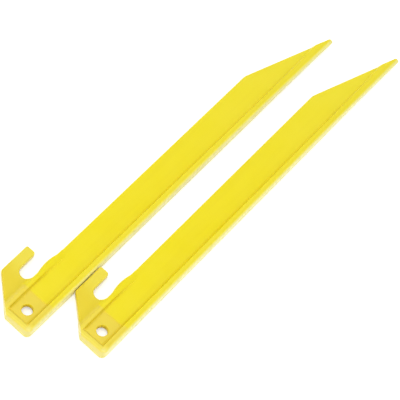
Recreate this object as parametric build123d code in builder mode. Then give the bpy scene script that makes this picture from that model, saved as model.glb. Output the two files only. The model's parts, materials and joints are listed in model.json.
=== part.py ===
"""A pair of injection-moulded plastic tent pegs, lying flat side by side.

Each peg is one moulding: a flat blade with a tall spine along its back, a single bevel down to a blunt
point, and a head that carries a striking bar, an eyelet and an open rope hook. The moulding is the same
above and below its parting plane, so it is drawn about Z = 0 and then stood on the ground.

Peg frame: +X from the head to the point, +Y from the spine to the hook, +Z up. Millimetres.
"""
import os

from build123d import *

# ---------------------------------------------------------------- driving dimensions
# whole peg
peg_length = 305.0  # head end to point
stem_width = 23.9  # back of the spine to the plain edge of the blade
spine_height = 10.4  # full height of the spine, which is what the peg lies on
blade_thickness = 5.0

# spine: a tall flange with a rounded back, a flat top and bottom, and a slightly hollow inner side
spine_width = 4.1  # across its top, from the back
spine_foot = 6.6  # where the hollow inner side would meet the blade at its thinnest
spine_hollow_radius = 8.0
spine_back_radius = 1.4  # along the outer edges, and on round the struck end's corner
spine_edge_radius = 0.4  # along the inner edges
point_kick = 1.0  # the back curves outwards by this much over the point
kick_start = 243.0

# point
bevel_start = 238.5  # from the struck end, where the plain edge gives way to the bevel
bevel_turn_radius = 14.0
point_width = 2.9
point_corner_radius = 1.2
spine_taper_start = 226.0
spine_point_height = 3.0
blade_taper_start = 240.0
blade_point_thickness = 2.2
taper_blend_radius = 90.0

# head
head_width = 18.6  # width of the end that is struck
head_corner_radius = 3.6  # in plan, where the struck end meets the back
bar_width = 3.6  # across the top of the striking bar
bar_foot = 5.4  # where the bar's hollow inner side meets the pad
bar_hollow_radius = 4.0
bar_low_height = 8.2  # the bar is lower at the hook side than at the spine
bar_inner_radius = 0.8

# hook
hook_reach = 41.1  # back of the spine to the outside of the hook
hook_corner = 20.3  # where the sloping shoulder meets the arm
hook_corner_radius = 2.2
arm_width = 7.3
arm_end = 43.8
arm_inner_radius = 1.9
arm_outer_radius = 1.2
slot_bottom = 25.9  # deepest point of the rope slot

# rope nub, opposite the end of the arm
nub_height = 1.25
nub_length = 17.0
nub_centre = 43.4
nub_blend_radius = 9.0

# rib beside the rope slot
rib_height = 8.2
rib_inner = 20.5  # inner edge of the rib's top
rib_top_width = 2.3
rib_foot_width = 1.2  # width of the hollow side towards the eyelet
rib_foot_radius = 2.0
rib_flank_width = 3.5  # width of the hollow side towards the hook plate
rib_flank_radius = 6.0
rib_edge_radius = 0.4  # along the rib's flat top
rib_fade_start = 30.0
rib_fade_end = 57.0
rib_blend_radius = 40.0

# eyelet and the recessed pad round it
eyelet_radius = 3.65
eyelet_x = 12.1
eyelet_y = 11.8
eyelet_chamfer = 0.35
pad_depth = 0.3
pad_end = 22.8

# edges of the flat plate
plate_edge_radius = 0.9

# how the two pegs lie
pair_step = 22.0  # the right peg lies this much further along
pair_gap = 0.5  # clear space between the left peg's spine and the right peg's hook

# how far a form that fades out, or meets a taller one, ends below the other's face
sink = 0.1

# ---------------------------------------------------------------- sizes that follow
spine_half = spine_height / 2
blade_half = blade_thickness / 2
spine_foot_half = blade_point_thickness / 2 - sink
slot_width = hook_reach - arm_width - stem_width
slot_radius = slot_width / 2
slot_centre_y = stem_width + slot_radius
slot_centre_x = slot_bottom + slot_radius
trim_margin = 1.0  # the plan outline clears the spine's rounded back by this much
deep = 2 * spine_height  # taller than anything on the peg
wide = 2 * hook_reach  # wider than anything on the peg
wall_cosine = 0.1  # a face whose normal has a smaller Z than this is a wall
flat_cosine = 0.9  # a face whose normal has a larger Z than this is a top or an underside
near = 0.1  # places closer than this are the same place when faces and edges are picked
bar_low_half = bar_low_height / 2
bar_start = spine_width - spine_edge_radius - near  # the bar's hidden end, inside the spine's flat top
rib_half = rib_height / 2
rib_middle = rib_inner + rib_top_width / 2
rib_outer = rib_inner + rib_top_width


def corner(sketch, x, y):
    """The corner of a sketch nearest to a point in the sketch's own plane."""
    return sketch.vertices().sort_by_distance((x, y, 0))[0]


def plan_outline():
    """The peg seen from above. Its back stands clear of the spine, which has its own rounded back."""
    back = -trim_margin
    tip_back = back - point_kick
    tip_edge = point_width - point_kick
    nub_start = nub_centre - nub_length / 2
    nub_end = nub_centre + nub_length / 2
    with BuildSketch() as outline:
        # stem, with the bevel on the hook side and the slight outward curve of the back
        with BuildLine():
            Line((0, back), (0, head_width))
            Line((0, head_width), (slot_centre_x, stem_width))
            Line((slot_centre_x, stem_width), (bevel_start, stem_width))
            Line((bevel_start, stem_width), (peg_length, tip_edge))
            Line((peg_length, tip_edge), (peg_length, tip_back))
            TangentArc((kick_start, back), (peg_length, tip_back), tangent=(1, 0))
            Line((kick_start, back), (0, back))
        make_face()
        fillet(corner(outline, bevel_start, stem_width), radius=bevel_turn_radius)
        fillet(corner(outline, peg_length, tip_edge), radius=point_corner_radius)
        fillet(corner(outline, peg_length, tip_back), radius=point_corner_radius + trim_margin)
        fillet(corner(outline, 0, back), radius=head_corner_radius + trim_margin)
        # nub that keeps the rope in the slot
        with BuildLine():
            ThreePointArc(
                (nub_start, stem_width),
                (nub_centre, stem_width + nub_height),
                (nub_end, stem_width),
            )
            Line((nub_end, stem_width), (nub_centre, spine_width))
            Line((nub_centre, spine_width), (nub_start, stem_width))
        make_face()
        for x in (nub_start, nub_end):
            fillet(corner(outline, x, stem_width), radius=nub_blend_radius)
        # hook: a sloping shoulder, an arm that points down the peg, and the slot behind it
        with BuildLine():
            Polyline(
                (0, head_width),
                (hook_corner, hook_reach),
                (arm_end, hook_reach),
                (arm_end, hook_reach - arm_width),
                (slot_centre_x, hook_reach - arm_width),
                (slot_centre_x, spine_width),
                (0, spine_width),
                close=True,
            )
        make_face()
        with Locations((slot_centre_x, slot_centre_y)):
            Circle(slot_radius, mode=Mode.SUBTRACT)
        fillet(corner(outline, hook_corner, hook_reach), radius=hook_corner_radius)
        fillet(corner(outline, arm_end, hook_reach), radius=arm_outer_radius)
        fillet(corner(outline, arm_end, hook_reach - arm_width), radius=arm_inner_radius)
    return outline.sketch


def side_profile(half_start, half_end, taper_start, taper_end, blend):
    """Side view of something that keeps its height and then thins along the peg."""
    with BuildSketch(Plane.XZ) as profile:
        with BuildLine():
            Polyline(
                (0, -half_start),
                (0, half_start),
                (taper_start, half_start),
                (taper_end, half_end),
                (taper_end, -half_end),
                (taper_start, -half_start),
                close=True,
            )
        make_face()
        for side in (-half_start, half_start):
            fillet(corner(profile, taper_start, side), radius=blend)
    return profile.sketch


def bar_section(y, half):
    """The striking bar cut across at the given Y. Its inner side runs out hollow into the pad."""
    foot = blade_half - pad_depth - sink
    with BuildSketch(Plane.XZ.offset(-y)) as section:
        with BuildLine():
            RadiusArc((bar_foot, -foot), (bar_width, -half), -bar_hollow_radius)
            Polyline((bar_width, -half), (0, -half), (0, half), (bar_width, half))
            RadiusArc((bar_width, half), (bar_foot, foot), -bar_hollow_radius)
            Line((bar_foot, foot), (bar_foot, -foot))
        make_face()
        for side in (-half, half):
            fillet(corner(section, 0, side), radius=spine_back_radius)
            fillet(corner(section, bar_width, side), radius=bar_inner_radius)
    return section.sketch


# ---------------------------------------------------------------- blade and hook plate
with BuildPart() as plate:
    extrude(plan_outline(), amount=blade_half, both=True)
    split(bisect_by=Plane.ZX.offset(spine_width), keep=Keep.TOP)
    extrude(
        side_profile(
            blade_half, blade_point_thickness / 2, blade_taper_start, peg_length, taper_blend_radius
        ),
        amount=wide,
        both=True,
        mode=Mode.INTERSECT,
    )
    walls = plate.faces().filter_by(
        lambda face: abs(face.normal_at().Z) < wall_cosine and face.center().Y > spine_width + near
    )
    fillet(
        walls.edges().filter_by(lambda edge: abs(edge.tangent_at(0.5).Z) < flat_cosine),
        radius=plate_edge_radius,
    )
    # shallow recessed pad round the eyelet, on both faces
    for side in (-1, 1):
        with BuildSketch(Plane.XY.offset(side * (blade_half - pad_depth))):
            with Locations((0, spine_width)):
                Rectangle(pad_end, rib_middle - spine_width, align=(Align.MIN, Align.MIN))
        extrude(amount=side * blade_half, mode=Mode.SUBTRACT)

# ---------------------------------------------------------------- spine
with BuildPart() as spine:
    with BuildSketch() as spine_plan:
        with BuildLine():
            Polyline((kick_start, 0), (0, 0), (0, spine_foot), (peg_length, spine_foot))
            Line((peg_length, spine_foot), (peg_length, -point_kick))
            TangentArc((kick_start, 0), (peg_length, -point_kick), tangent=(1, 0))
        make_face()
        fillet(corner(spine_plan, 0, 0), radius=head_corner_radius)
    extrude(amount=spine_half, both=True)
    with BuildSketch(Plane.YZ):
        with BuildLine():
            Polyline(
                (spine_width, -spine_half),
                (-wide, -spine_half),
                (-wide, spine_half),
                (spine_width, spine_half),
            )
            RadiusArc((spine_width, spine_half), (spine_foot, spine_foot_half), -spine_hollow_radius)
            Line((spine_foot, spine_foot_half), (spine_foot, -spine_foot_half))
            RadiusArc(
                (spine_foot, -spine_foot_half), (spine_width, -spine_half), -spine_hollow_radius
            )
        make_face()
    extrude(amount=peg_length, mode=Mode.INTERSECT)
    extrude(
        side_profile(
            spine_half, spine_point_height / 2, spine_taper_start, peg_length, taper_blend_radius
        ),
        amount=wide,
        both=True,
        mode=Mode.INTERSECT,
    )
    back_walls = spine.faces().filter_by(
        lambda face: abs(face.normal_at().Z) < wall_cosine and face.center().Y < spine_width / 2
    )
    fillet(
        back_walls.edges().filter_by(
            lambda edge: abs(edge.tangent_at(0.5).Z) < flat_cosine and edge.center().X < peg_length - near
        ),
        radius=spine_back_radius,
    )
    tops = spine.faces().filter_by(lambda face: abs(face.normal_at().Z) > flat_cosine)
    fillet(
        tops.edges().filter_by(
            lambda edge: abs(edge.tangent_at(0.5).X) > flat_cosine
            and edge.center().Y > spine_width - near
        ),
        radius=spine_edge_radius,
    )

# ---------------------------------------------------------------- striking bar
with BuildPart() as bar:
    add(bar_section(bar_start, spine_half - sink))
    add(bar_section(rib_middle, bar_low_half))
    loft()

# ---------------------------------------------------------------- rib beside the rope slot
with BuildPart() as rib:
    foot = blade_half - sink
    foot_start = rib_inner - rib_foot_width
    flank_end = rib_outer + rib_flank_width
    with BuildSketch(Plane.YZ):
        with BuildLine():
            Line((foot_start, 0), (foot_start, foot))
            RadiusArc((foot_start, foot), (rib_inner, rib_half), -rib_foot_radius)
            Line((rib_inner, rib_half), (rib_outer, rib_half))
            RadiusArc((rib_outer, rib_half), (flank_end, foot), -rib_flank_radius)
            Polyline((flank_end, foot), (flank_end, 0), (foot_start, 0))
        make_face()
        mirror(about=Plane.XZ)
    extrude(amount=rib_fade_end)
    extrude(
        side_profile(rib_half, foot, rib_fade_start, rib_fade_end, rib_blend_radius),
        amount=wide,
        both=True,
        mode=Mode.INTERSECT,
    )
    extrude(plan_outline(), amount=deep, both=True, mode=Mode.INTERSECT)
    flat_tops = rib.faces().filter_by(
        lambda face: face.geom_type == GeomType.PLANE
        and abs(face.normal_at().Z) > flat_cosine
        and abs(face.center().Z) > rib_half - near
    )
    fillet(
        flat_tops.edges().filter_by(lambda edge: abs(edge.tangent_at(0.5).X) > flat_cosine),
        radius=rib_edge_radius,
    )

# ---------------------------------------------------------------- the moulding
with BuildPart() as moulding:
    add(plate.part)
    add(spine.part)
    add(bar.part)
    extrude(plan_outline(), amount=deep, both=True, mode=Mode.INTERSECT)
    with Locations((eyelet_x, eyelet_y, 0)):
        Hole(eyelet_radius)
    eyelet_rims = moulding.edges().filter_by(
        lambda edge: edge.geom_type == GeomType.CIRCLE
        and abs(edge.radius - eyelet_radius) < near
        and edge.arc_center.X < pad_end
    )
    chamfer(eyelet_rims, length=eyelet_chamfer)
    add(rib.part)

# ---------------------------------------------------------------- the pair, standing on Z = 0
os.makedirs("parts", exist_ok=True)
pair_length = peg_length + pair_step
across = hook_reach + pair_gap  # sideways distance from one peg to the next
middle_x = pair_length / 2
middle_y = (hook_reach - across - point_kick) / 2

with BuildPart() as peg_left:
    with Locations((-middle_x, -middle_y, spine_half)):
        add(moulding.part)
peg_left.part.label = "peg_left"
export_step(peg_left.part, "parts/peg_left.step")

with BuildPart() as peg_right:
    with Locations((pair_step - middle_x, -across - middle_y, spine_half)):
        add(moulding.part)
peg_right.part.label = "peg_right"
export_step(peg_right.part, "parts/peg_right.step")
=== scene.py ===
"""Finish, studio and camera for a pair of moulded plastic tent pegs.

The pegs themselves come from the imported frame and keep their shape. This script gives them their
moulded finish and sets the pale floor, the soft lamps and the camera. Lengths are in metres.
"""
import json
import math

import bpy
from bpy.props import FloatProperty, FloatVectorProperty, PointerProperty
from bpy.types import Operator, Panel, PropertyGroup
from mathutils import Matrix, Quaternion, Vector


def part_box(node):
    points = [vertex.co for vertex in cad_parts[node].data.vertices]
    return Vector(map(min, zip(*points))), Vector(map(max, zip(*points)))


bl_info = {
    "name": "Tent Peg Pair",
    "version": (1, 0, 0),
    "blender": (4, 5, 0),
    "location": "View3D > Sidebar > Tent Pegs",
    "description": "Finishes a pair of moulded tent pegs and sets a studio round them",
    "category": "Object",
}

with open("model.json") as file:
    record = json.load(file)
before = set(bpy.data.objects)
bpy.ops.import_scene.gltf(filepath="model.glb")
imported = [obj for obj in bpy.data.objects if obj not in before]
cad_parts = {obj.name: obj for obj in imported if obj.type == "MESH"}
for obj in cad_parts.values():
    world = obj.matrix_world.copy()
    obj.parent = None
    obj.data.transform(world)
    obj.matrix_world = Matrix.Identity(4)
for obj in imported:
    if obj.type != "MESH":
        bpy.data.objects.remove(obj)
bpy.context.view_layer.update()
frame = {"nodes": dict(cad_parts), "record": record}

MILLIMETRE = 0.001
PEGS = ("peg_left", "peg_right")
POINT_KICK = 0.001  # the spine's back curves out by this much over the point
CORNER = 0.0018  # how far in from both edges the middle of the painted highlight on the struck corner lies
FLOW_STRETCH = 0.06  # a streak's width as a share of its length
SPINE_SPREAD = 1.3  # the spine's crease is this much wider than the rib's inner one
PLATE_SPREAD = 3  # and the rib's outer one, beside the hook plate, this much wider
STREAKED = (0.45, 0.75)  # noise at which a streak begins, and at which it is full
CLOUDED = (0.3, 0.7)  # noise at which the skin is smoothest, and at which it is roughest
SKY_TOP = 0.8  # sine of the height from which the sky has its strength overhead
SOFT_EDGE = 0.001  # how far a zone's edge fades, to one side or to both
# The bore's colour is painted shade, and the bore is also duller
BORE_EDGE = 0.0005  # how far the bore's colour fades out round the eyelet
MIX_FIRST, MIX_SECOND, MIX_RESULT = 6, 7, 2  # where a Mix node has its colour sockets

# How many octaves of finer detail a noise has
RIPPLE_DETAIL = 1
GRAIN_DETAIL = 2
STREAK_DETAIL = 3
CLOUD_DETAIL = 3

# Where a zone ends, as the last place where it is full and the first where it is gone
BAR_TOP = (0.003, 0.006)  # along: the top of the struck bar
# These zones, with HEAD_WALL, place the painted reflection on the struck end and the spine's back
END_WALL = (0.003, 0.0045)  # along: the rounding of the struck end
HEAD_WALL = (0.001, 0.006)  # along: the less pale wall of the struck end
BACK_WALL = (0.0012, 0.0028)  # across: the rounding of the spine's back
BACK_EDGE = (0.0001, 0.0015)  # across: the outermost edge of the spine's back

# How level a face is, 0 for a wall and 1 for a flat top
FLAT = (0.8, 0.97)  # begins to count as a flat top, and counts in full
ROUNDED = (0.3, 0.99)  # last counts in full as rounded over, and no longer counts


def length(name, default, description):
    """A length that a user can change."""
    return FloatProperty(
        name=name, description=description, subtype="DISTANCE", unit="LENGTH", default=default
    )


def share(name, default, description):
    """A share from 0 to 1 that a user can change."""
    return FloatProperty(
        name=name, description=description, subtype="FACTOR", min=0, max=1, default=default
    )


def colour(name, default, description):
    """A colour that a user can change."""
    return FloatVectorProperty(
        name=name, description=description, subtype="COLOR", size=3, min=0, max=1, default=default
    )


def angle(name, degrees, description):
    """An angle that a user can change."""
    return FloatProperty(
        name=name,
        description=description,
        subtype="ANGLE",
        unit="ROTATION",
        default=math.radians(degrees),
    )


def place(name, default, description):
    """A point that a user can change."""
    return FloatVectorProperty(
        name=name,
        description=description,
        subtype="TRANSLATION",
        unit="LENGTH",
        size=3,
        default=default,
    )


def power(name, default, description):
    """A lamp's power that a user can change."""
    return FloatProperty(
        name=name, description=description, subtype="POWER", unit="POWER", default=default
    )


def strength(name, default, description):
    """A strength of light that a user can change."""
    return FloatProperty(name=name, description=description, min=0, default=default)


class MouldedPlastic(PropertyGroup):
    """Finish of the pegs, with painted shade in the creases and bore, painted reflection on the
    outer walls and a painted highlight on the struck corner. Along is counted from the struck end,
    across from the spine's back.
    """

    stem_colour: colour("Stem colour", (0.94, 0.79, 0.004), "Blade from the pad to the point")
    pad_colour: colour("Pad colour", (0.9, 0.72, 0.06), "Head from the struck end to the pad's end")
    plate_colour: colour("Plate colour", (0.86, 0.68, 0.022), "Deeper colour of the hook plate")
    rubbed_colour: colour("Rubbed colour", (0.95, 0.84, 0.1), "Tops, point and hook's arm")
    # Painted shade: the eyelet's wall is drawn deeper where shade falls inside the hole
    bore_shade_colour: colour("Bore colour", (0.98, 0.76, 0.0), "Deeper colour of the eyelet's wall")
    # Painted reflection: this pale colour stands in for the white floor's light reflected and thrown
    # onto the outer walls
    wall_reflection_colour: colour("Wall colour", (0.95, 0.87, 0.27), "Spine's back, struck end and its corner")
    # Painted shade: this deeper colour stands in for the shade that falls in the creases and along
    # the shoulder line
    crease_shade_colour: colour("Crease colour", (0.68, 0.5, 0.0), "Deeper colour of the creases")
    streak_colour: colour("Streak colour", (0.84, 0.67, 0.004), "Faint streaks along the peg")

    pad_end: length("Pad end", 0.0228, "Along, where the pad's colour ends")
    plate_start: length("Plate start", 0.0252, "Across, where the hook plate begins")
    arm_start: length("Arm start", 0.02, "Along, where the hook plate begins to pale")
    arm_full: length("Arm full", 0.034, "Along, where the hook's arm has its full paleness")
    # Painted highlight: the paleness round the struck corner stands in for a glint on its rounding
    corner_highlight: length("Worn corner", 0.003, "Reach of the paleness round the struck corner")
    raised_from: length("Raised from", 0.0031, "Height over the parting plane of raised tops")

    shoulder_line: length("Shoulder line", 0.0022, "Across, where the rounded back meets the top")
    spine_crease: length("Spine crease", 0.0051, "Across, where the spine's foot meets the blade")
    rib_crease: length("Rib crease", 0.0201, "Across, where the rib's inner foot meets the blade")
    rib_outer_crease: length("Rib outer crease", 0.0263, "Across, where the rib meets the plate")
    crease_width: length("Crease width", 0.0013, "Half the width of a crease")
    crease_start: length("Crease start", 0.005, "Along, where the creases begin")
    rib_end: length("Rib end", 0.057, "Along, where the rib has faded out")
    point_start: length("Point start", 0.1, "Along, where the rubbing towards the point begins")
    spine_fade: length("Spine fade", 0.26, "Along, where the spine's crease begins to fade")
    spine_end: length("Spine end", 0.3, "Along, where the spine's crease has faded out")

    # From here to stem share: how deep the painted shade is in the creases and along the shoulder
    # line
    spine_share: share("Spine share", 0.58, "Depth of colour in the spine's crease")
    shoulder_share: share("Shoulder share", 0.22, "Depth of colour in the shoulder line")
    rib_share: share("Rib share", 0.75, "Depth of colour in the rib's creases")
    plate_share: share("Plate share", 0.2, "The rib's outer crease as a share of its inner one")
    stem_share: share("Stem share", 0.65, "What is left of the creases down the stem")
    rubbed_share: share("Rubbed share", 0.25, "How far the raised tops take the rubbed colour")
    bar_share: share("Bar share", 0.4, "How far the struck bar's top takes the rubbed colour")
    head_share: share("Head share", 0.075, "How far the tops behind the bar take the rubbed colour")
    point_share: share("Point share", 0.3, "How far the point takes the rubbed colour")
    arm_share: share("Arm share", 0.5, "How far the hook's arm takes the rubbed colour")
    # Painted highlight: how strongly the struck corner takes the reflection colour
    highlight_share: share("Corner share", 0.7, "How far the struck corner takes the wall colour")
    # End share: how much of the painted reflection the struck end takes
    end_share: share("End share", 0.5, "How far the struck end takes the wall colour")
    streak_share: share("Streak share", 0.2, "How far the streaks take their colour")

    roughness: share("Roughness", 0.37, "Roughness of the moulded skin")
    roughness_spread: share("Roughness spread", 0.06, "How much the roughness varies either way")
    bore_roughness: share("Bore roughness", 0.8, "Roughness of the eyelet's wall")
    streak_size: length("Streak size", 0.004, "Width of a streak")
    cloud_size: length("Cloud size", 0.012, "Size of the patches of differing roughness")
    grain_size: length("Grain size", 0.0006, "Width of one grain of the mould's texture")
    grain_depth: length("Grain depth", 0.00002, "Depth of the mould's texture")
    ripple_size: length("Ripple size", 0.03, "Width of the shallow ripples of a cooled moulding")
    ripple_depth: length("Ripple depth", 0.0002, "Depth of the shallow ripples")
    parting_line: length("Parting line", 0.00015, "Half the width of the line between the moulds")
    parting_height: length("Parting height", 0.000075, "Height of the line between the moulds")


class Studio(PropertyGroup):
    """Floor, lamps and camera."""

    target: place("Target", (-0.01637, -0.0134, 0.005), "Point that the camera looks at")
    azimuth: angle("Azimuth", -70, "Compass angle of the camera, 0 looking along +Y")
    elevation: angle("Elevation", 60.6, "Height of the camera above the horizon")
    roll: angle("Roll", 22.8, "Turn of the camera about its own axis")
    distance: length("Distance", 1.166, "From the camera to the target")
    field: angle("Field of view", 12.49, "Angle across the picture")
    floor_width: length("Floor width", 8, "Width of the floor")
    floor_white: share("Floor white", 0.9, "Share of light that the floor throws back")
    floor_glow: strength("Floor glow", 0.45, "How much whiter than lit the floor is seen")
    key_place: place("Key place", (-0.45, 0.1, 2.1), "Middle of the large lamp overhead")
    key_width: length("Key width", 1.6, "Width of the large lamp")
    key_power: power("Key power", 27.1, "Power of the large lamp")
    side_place: place("Side place", (-0.6, -1, 0.57), "Middle of the small lamp beside the spines")
    side_width: length("Side width", 0.25, "Width of the small lamp")
    side_power: power("Side power", 1.5, "Power of the small lamp")
    horizon: strength("Horizon", 1.1, "Strength of the sky down at the horizon")
    zenith: strength("Zenith", 0.3, "Strength of the sky overhead")


# ---------------------------------------------------------------- material nodes
def add_node(tree, kind, label, **settings):
    """A named node with its properties set."""
    node = tree.nodes.new(kind)
    node.name = node.label = label
    for setting, value in settings.items():
        setattr(node, setting, value)
    return node


def set_inputs(node, **values):
    """Sets unlinked inputs of a node by name, with _ for a space."""
    for name, value in values.items():
        node.inputs[name.replace("_", " ")].default_value = value


def new_tree(name):
    """An empty material and its node tree."""
    material = bpy.data.materials.new(name)
    material.use_nodes = True
    material.node_tree.nodes.clear()
    return material, material.node_tree


def noise(tree, where, label, size, detail):
    """Noise with features of the given size in metres."""
    node = add_node(tree, "ShaderNodeTexNoise", label)
    set_inputs(node, Scale=1 / size, Detail=detail)
    tree.links.new(where, node.inputs["Vector"])
    return node.outputs["Fac"]


def remap(tree, value, label, low, high, out_low=0, out_high=1):
    """A smooth step of a value from one range to another."""
    node = add_node(tree, "ShaderNodeMapRange", label, interpolation_type="SMOOTHSTEP")
    node.inputs["From Min"].default_value = low
    node.inputs["From Max"].default_value = high
    node.inputs["To Min"].default_value = out_low
    node.inputs["To Max"].default_value = out_high
    tree.links.new(value, node.inputs["Value"])
    return node.outputs["Result"]


def mix_colour(tree, factor, label, first, second):
    """Two colours mixed by a factor. Each is a colour or a socket."""
    node = add_node(tree, "ShaderNodeMix", label, data_type="RGBA")
    tree.links.new(factor, node.inputs["Factor"])
    for position, tint in ((MIX_FIRST, first), (MIX_SECOND, second)):
        if isinstance(tint, bpy.types.NodeSocket):
            tree.links.new(tint, node.inputs[position])
        else:
            node.inputs[position].default_value = (*tint, 1)
    return node.outputs[MIX_RESULT]


def bump(tree, height, label, depth, under=None):
    """A bump of the given depth in metres, over another one."""
    node = add_node(tree, "ShaderNodeBump", label)
    set_inputs(node, Strength=1, Distance=depth)
    tree.links.new(height, node.inputs["Height"])
    if under:
        tree.links.new(under, node.inputs["Normal"])
    return node.outputs["Normal"]


def calculate(tree, operation, label, *values):
    """A sum on sockets and numbers."""
    node = add_node(tree, "ShaderNodeMath", label, operation=operation)
    for socket, value in zip(node.inputs, values):
        if isinstance(value, bpy.types.NodeSocket):
            tree.links.new(value, socket)
        else:
            socket.default_value = value
    return node.outputs["Value"]


def band(tree, value, label, middle, half_width):
    """1 where the value is at the middle, down to 0 at half a width from it."""
    off = calculate(tree, "SUBTRACT", f"{label}_off", value, middle)
    distance = calculate(tree, "ABSOLUTE", f"{label}_distance", off)
    return remap(tree, distance, label, 0, half_width, 1, 0)


def creases(tree, finish, x, y):
    """Share of painted shade in the creases and along the shoulder line, most of it at the head."""
    wide = finish.crease_width
    at_spine = band(tree, y, "spine_crease", finish.spine_crease, SPINE_SPREAD * wide)
    to_point = remap(
        tree, x, "spine_faded", finish.spine_fade, finish.spine_end, finish.spine_share, 0
    )
    spine = calculate(tree, "MULTIPLY", "spine", at_spine, to_point)
    at_shoulder = band(tree, y, "shoulder_line", finish.shoulder_line, wide)
    shoulder = calculate(tree, "MULTIPLY", "shoulder", at_shoulder, finish.shoulder_share)
    along_spine = calculate(tree, "MAXIMUM", "along_spine", spine, shoulder)

    at_rib = band(tree, y, "rib_crease", finish.rib_crease, wide)
    at_plate = band(tree, y, "rib_outer_crease", finish.rib_outer_crease, PLATE_SPREAD * wide)
    on_plate = calculate(tree, "MULTIPLY", "on_plate", at_plate, finish.plate_share)
    beside_rib = calculate(tree, "MAXIMUM", "beside_rib", at_rib, on_plate)
    rib_end = finish.rib_end
    fading_from = rib_end / 2
    to_fade = remap(tree, x, "rib_faded", fading_from, rib_end, finish.rib_share, 0)
    rib = calculate(tree, "MULTIPLY", "rib", beside_rib, to_fade)

    both = calculate(tree, "MAXIMUM", "all_creases", along_spine, rib)
    begin = finish.crease_start
    begun = remap(tree, x, "creases_begun", begin, begin + SOFT_EDGE)
    thinning = remap(tree, x, "thinning", finish.pad_end, rib_end, 1, finish.stem_share)
    along = calculate(tree, "MULTIPLY", "creases_along", begun, thinning)
    return calculate(tree, "MULTIPLY", "crease_shade_share", both, along)


def rubbed_tops(tree, finish, x, height, level):
    """Share of the rubbed colour on the raised tops and on the point."""
    raised = finish.raised_from
    high = remap(tree, height, "high", raised, raised + SOFT_EDGE)
    flat = remap(tree, level, "flat_tops", *FLAT)
    raised_flat = calculate(tree, "MULTIPLY", "raised_flat", high, flat)
    head = remap(tree, x, "rubbed_head", *BAR_TOP, finish.bar_share, finish.head_share)
    stem = remap(
        tree, x, "rubbed_stem", finish.pad_end, finish.rib_end, 0, finish.rubbed_share
    )
    where = calculate(tree, "MAXIMUM", "where_rubbed", head, stem)
    tops = calculate(tree, "MULTIPLY", "rubbed_tops", raised_flat, where)
    point = remap(
        tree, x, "rubbed_point", finish.point_start, finish.spine_end, 0, finish.point_share
    )
    return calculate(tree, "MAXIMUM", "rubbed_share", tops, point)


def reflection_on_walls(tree, finish, x, y, level):
    """Share of the painted reflection on the spine's back and the struck end."""
    near_back = remap(tree, y, "near_back", *BACK_WALL, 1, 0)
    near_end = remap(tree, x, "near_end", *END_WALL, 1, 0)
    outside = calculate(tree, "MAXIMUM", "outside", near_back, near_end)
    rounded_over = remap(tree, level, "rounded_over", *ROUNDED, 1, 0)
    outer = calculate(tree, "MULTIPLY", "outer_walls", outside, rounded_over)
    back_edge = remap(tree, y, "back_edge", *BACK_EDGE, 1, 0)
    walls = calculate(tree, "MAXIMUM", "walls", outer, back_edge)
    less_at_head = remap(tree, x, "less_at_head", *HEAD_WALL, finish.end_share, 1)
    return calculate(tree, "MULTIPLY", "wall_reflection_share", walls, less_at_head)


def ground_colour(tree, finish, x, y, flow):
    """Stem, pad and hook plate with its paler arm, under faint streaks."""
    pad = finish.pad_end
    beyond_pad = remap(tree, x, "beyond_pad", pad - SOFT_EDGE, pad + SOFT_EDGE)
    lengthways = mix_colour(tree, beyond_pad, "lengthways", finish.pad_colour, finish.stem_colour)
    on_arm = remap(tree, x, "on_arm", finish.arm_start, finish.arm_full, 0, finish.arm_share)
    hook = mix_colour(tree, on_arm, "hook", finish.plate_colour, finish.rubbed_colour)
    plate = finish.plate_start
    off_plate = remap(tree, y, "off_plate", plate - SOFT_EDGE, plate + SOFT_EDGE, 1, 0)
    ground = mix_colour(tree, off_plate, "ground", hook, lengthways)
    streaks = noise(tree, flow, "streaks", finish.streak_size, STREAK_DETAIL)
    streaked = remap(tree, streaks, "streaked", *STREAKED, 0, finish.streak_share)
    return mix_colour(tree, streaked, "streaked_ground", ground, finish.streak_colour)


def flat_distance(tree, in_plan, label, x, y):
    """Distance in plan from a point along and across the peg."""
    node = add_node(tree, "ShaderNodeVectorMath", label, operation="DISTANCE")
    tree.links.new(in_plan, node.inputs[0])
    node.inputs[1].default_value = (x, y, 0)
    return node.outputs["Value"]


def eyelet_centre(peg):
    """Where the peg's eyelet is, and its radius."""
    name = peg.replace("peg", "eyelet")
    mount = next(item for item in frame["record"]["mounts"] if item["name"] == name)
    return Vector(mount["pos_m"]), mount["dims"]["r_mm"] * MILLIMETRE


def relief(tree, finish, on_peg, height):
    """Shallow ripples under a fine grain, and the line where the two halves of the mould met."""
    ripples = noise(tree, on_peg, "ripples", finish.ripple_size, RIPPLE_DETAIL)
    rippled = bump(tree, ripples, "rippled", finish.ripple_depth)
    line = remap(tree, height, "parting_line", 0, finish.parting_line, 1, 0)
    parted = bump(tree, line, "parted", finish.parting_height, under=rippled)
    grain = noise(tree, on_peg, "grain", finish.grain_size, GRAIN_DETAIL)
    return bump(tree, grain, "grained", finish.grain_depth, under=parted)


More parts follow.
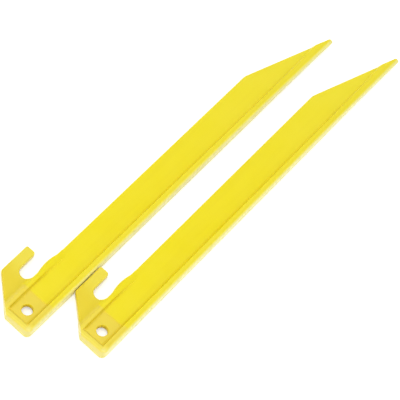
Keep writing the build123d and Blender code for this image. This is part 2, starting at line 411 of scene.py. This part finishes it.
def moulded_plastic(peg):
    """Yellow plastic with painted shade in its creases and bore, painted reflection on its outer
    walls, a painted highlight on its struck corner, and paler tops and point.
    """
    finish = bpy.context.scene.moulded_plastic
    low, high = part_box(peg)
    back = low.y + POINT_KICK
    material, tree = new_tree(f"moulded_plastic_{peg}")

    # places on the peg: along from the struck end, across from the spine's back, up from the middle
    coordinates = add_node(tree, "ShaderNodeTexCoord", "coordinates")
    from_head = add_node(tree, "ShaderNodeMapping", "from_head")
    from_head.inputs["Location"].default_value = (-low.x, -back, -(low.z + high.z) / 2)
    tree.links.new(coordinates.outputs["Object"], from_head.inputs["Vector"])
    on_peg = from_head.outputs["Vector"]
    flow = add_node(tree, "ShaderNodeMapping", "flow")
    flow.inputs["Scale"].default_value = (FLOW_STRETCH, 1, 1)
    tree.links.new(on_peg, flow.inputs["Vector"])
    axes = add_node(tree, "ShaderNodeSeparateXYZ", "axes")
    tree.links.new(on_peg, axes.inputs["Vector"])
    x, y = axes.outputs["X"], axes.outputs["Y"]
    height = calculate(tree, "ABSOLUTE", "height", axes.outputs["Z"])
    plan = add_node(tree, "ShaderNodeCombineXYZ", "plan")
    tree.links.new(x, plan.inputs["X"])
    tree.links.new(y, plan.inputs["Y"])
    in_plan = plan.outputs["Vector"]
    facing = add_node(tree, "ShaderNodeSeparateXYZ", "facing")
    tree.links.new(coordinates.outputs["Normal"], facing.inputs["Vector"])
    level = calculate(tree, "ABSOLUTE", "level", facing.outputs["Z"])

    # colour: the ground, then painted shade in the creases, rubbed tops, painted reflection on the
    # walls, painted highlight on the struck corner, and painted shade in the bore
    ground = ground_colour(tree, finish, x, y, flow.outputs["Vector"])
    # painted shade in the creases and along the shoulder line
    crease_shade_share = creases(tree, finish, x, y)
    crease_shaded = mix_colour(tree, crease_shade_share, "crease_shaded", ground, finish.crease_shade_colour)
    rubbed_share = rubbed_tops(tree, finish, x, height, level)
    rubbed = mix_colour(tree, rubbed_share, "rubbed", crease_shaded, finish.rubbed_colour)
    # painted reflection on the outer walls, then the painted highlight on the struck corner
    wall_reflection_share = reflection_on_walls(tree, finish, x, y, level)
    # painted highlight on the struck corner
    off_corner = flat_distance(tree, in_plan, "off_corner", CORNER, CORNER)
    highlight_share = remap(
        tree, off_corner, "corner_highlight", 0, finish.corner_highlight, finish.highlight_share, 0
    )
    painted_light_share = calculate(tree, "MAXIMUM", "painted_light_share", wall_reflection_share, highlight_share)
    with_painted_light = mix_colour(tree, painted_light_share, "with_painted_light", rubbed, finish.wall_reflection_colour)
    # painted shade on the eyelet's wall, which is also dull
    centre, radius = eyelet_centre(peg)
    off_bore = flat_distance(tree, in_plan, "off_bore", centre.x - low.x, centre.y - back)
    bore_share = remap(tree, off_bore, "bore_share", radius, radius + BORE_EDGE, 1, 0)
    colour_all_over = mix_colour(tree, bore_share, "bore_shaded", with_painted_light, finish.bore_shade_colour)

    # gloss: cloudy all over, dull in the bore
    clouds = noise(tree, on_peg, "clouds", finish.cloud_size, CLOUD_DETAIL)
    smoothest = finish.roughness - finish.roughness_spread
    roughest = finish.roughness + finish.roughness_spread
    satin = remap(tree, clouds, "satin", *CLOUDED, smoothest, roughest)
    dull = calculate(tree, "MULTIPLY", "dull_bore", bore_share, finish.bore_roughness)
    roughness = calculate(tree, "MAXIMUM", "roughness", satin, dull)

    skin = add_node(tree, "ShaderNodeBsdfPrincipled", "skin")
    set_inputs(
        skin,
        IOR=1.45,
        Coat_Weight=0.15,
        Coat_Roughness=0.15,
        Subsurface_Weight=0.1,
        Subsurface_Scale=MILLIMETRE,
        Subsurface_Radius=(1, 0.8, 0.2),
    )
    tree.links.new(colour_all_over, skin.inputs["Base Color"])
    tree.links.new(roughness, skin.inputs["Roughness"])
    tree.links.new(relief(tree, finish, on_peg, height), skin.inputs["Normal"])
    surface = add_node(tree, "ShaderNodeOutputMaterial", "surface")
    tree.links.new(skin.outputs["BSDF"], surface.inputs["Surface"])
    return material


def seen_directly(tree):
    """1 for rays of the camera, of gloss and of glass, 0 for all others."""
    rays = add_node(tree, "ShaderNodeLightPath", "rays")
    total = rays.outputs["Is Camera Ray"]
    for kind in ("Is Glossy Ray", "Is Transmission Ray"):
        total = calculate(tree, "MAXIMUM", f"or_{kind[3:]}", total, rays.outputs[kind])
    return total


def floor_paint(studio):
    """Pale matt paint that glows a little where it is looked at, so the floor is white."""
    material, tree = new_tree("floor_paint")
    paint = add_node(tree, "ShaderNodeBsdfDiffuse", "paint")
    white = studio.floor_white
    set_inputs(paint, Color=(white, white, white, 1))
    glow = add_node(tree, "ShaderNodeEmission", "glow")
    set_inputs(glow, Color=(1, 1, 1, 1))
    glow_share = calculate(tree, "MULTIPLY", "glow_share", seen_directly(tree), studio.floor_glow)
    tree.links.new(glow_share, glow.inputs["Strength"])
    both = add_node(tree, "ShaderNodeAddShader", "both")
    tree.links.new(paint.outputs["BSDF"], both.inputs[0])
    tree.links.new(glow.outputs["Emission"], both.inputs[1])
    surface = add_node(tree, "ShaderNodeOutputMaterial", "surface")
    tree.links.new(both.outputs["Shader"], surface.inputs["Surface"])
    return material


# ---------------------------------------------------------------- operators
class FinishPegs(Operator):
    """Give both pegs their moulded plastic finish"""

    bl_idname = "tent_pegs.finish_pegs"
    bl_label = "Finish Pegs"

    def execute(self, context):
        for peg in PEGS:
            frame["nodes"][peg].material_slots[0].material = moulded_plastic(peg)
        return {"FINISHED"}


class SetStage(Operator):
    """Set the floor, the lamps and the camera round the pegs"""

    bl_idname = "tent_pegs.set_stage"
    bl_label = "Set Stage"

    def execute(self, context):
        studio = context.scene.studio
        bpy.ops.object.select_all(action="DESELECT")
        bpy.ops.mesh.primitive_plane_add(size=studio.floor_width)
        floor = context.active_object
        floor.name = "floor"
        floor.data.materials.append(floor_paint(studio))
        self.add_lamp("key", studio.key_place, studio.key_width, studio.key_power)
        self.add_lamp("side", studio.side_place, studio.side_width, studio.side_power)
        self.set_sky(context.scene, studio)
        self.add_camera(context.scene, studio)
        context.scene.view_settings.view_transform = "Standard"
        return {"FINISHED"}

    def add_lamp(self, name, middle, width, watts):
        """A soft square lamp that faces the pegs."""
        bpy.ops.object.light_add(type="AREA", location=middle)
        lamp = bpy.context.active_object
        lamp.name = f"{name}_lamp"
        lamp.data.shape = "SQUARE"
        lamp.data.size = width
        lamp.data.energy = watts
        lamp.rotation_euler = (-Vector(middle)).to_track_quat("-Z", "Y").to_euler()

    def set_sky(self, scene, studio):
        """A pale sky, bright down at the horizon and softer overhead."""
        sky = bpy.data.worlds.new("sky")
        scene.world = sky
        sky.use_nodes = True
        tree = sky.node_tree
        tree.nodes.clear()
        direction = add_node(tree, "ShaderNodeTexCoord", "direction")
        axes = add_node(tree, "ShaderNodeSeparateXYZ", "axes")
        tree.links.new(direction.outputs["Generated"], axes.inputs["Vector"])
        brightness = remap(
            tree, axes.outputs["Z"], "brightness", 0, SKY_TOP, studio.horizon, studio.zenith
        )
        light = add_node(tree, "ShaderNodeBackground", "light")
        set_inputs(light, Color=(1, 1, 1, 1))
        tree.links.new(brightness, light.inputs["Strength"])
        surface = add_node(tree, "ShaderNodeOutputWorld", "surface")
        tree.links.new(light.outputs["Background"], surface.inputs["Surface"])

    def add_camera(self, scene, studio):
        """A camera on its target, turned about its own axis."""
        level = math.cos(studio.elevation)
        away = Vector(
            (
                math.sin(studio.azimuth) * level,
                -math.cos(studio.azimuth) * level,
                math.sin(studio.elevation),
            )
        )
        bpy.ops.object.camera_add(location=studio.target + away * studio.distance)
        camera = bpy.context.active_object
        camera.name = "camera"
        camera.rotation_mode = "QUATERNION"
        turn = Quaternion((0, 0, 1), studio.roll)
        camera.rotation_quaternion = (-away).to_track_quat("-Z", "Y") @ turn
        camera.data.angle = studio.field
        scene.camera = camera


class TentPegPanel(Panel):
    """Sizes, colours and steps of the tent pegs"""

    bl_idname = "VIEW3D_PT_tent_pegs"
    bl_label = "Tent Pegs"
    bl_space_type = "VIEW_3D"
    bl_region_type = "UI"
    bl_category = "Tent Pegs"

    def draw(self, context):
        layout = self.layout
        for operator in OPERATORS:
            layout.operator(operator.bl_idname)
        for group in (context.scene.moulded_plastic, context.scene.studio):
            box = layout.box()
            for name in group.__annotations__:
                box.prop(group, name)


GROUPS = (MouldedPlastic, Studio)
OPERATORS = (FinishPegs, SetStage)
CLASSES = (*GROUPS, *OPERATORS, TentPegPanel)


def register():
    for item in CLASSES:
        bpy.utils.register_class(item)
    bpy.types.Scene.moulded_plastic = PointerProperty(type=MouldedPlastic)
    bpy.types.Scene.studio = PointerProperty(type=Studio)


def unregister():
    del bpy.types.Scene.studio
    del bpy.types.Scene.moulded_plastic
    for item in reversed(CLASSES):
        bpy.utils.unregister_class(item)


def main():
    register()
    bpy.ops.tent_pegs.finish_pegs()
    bpy.ops.tent_pegs.set_stage()


if __name__ == "__main__":
    main()
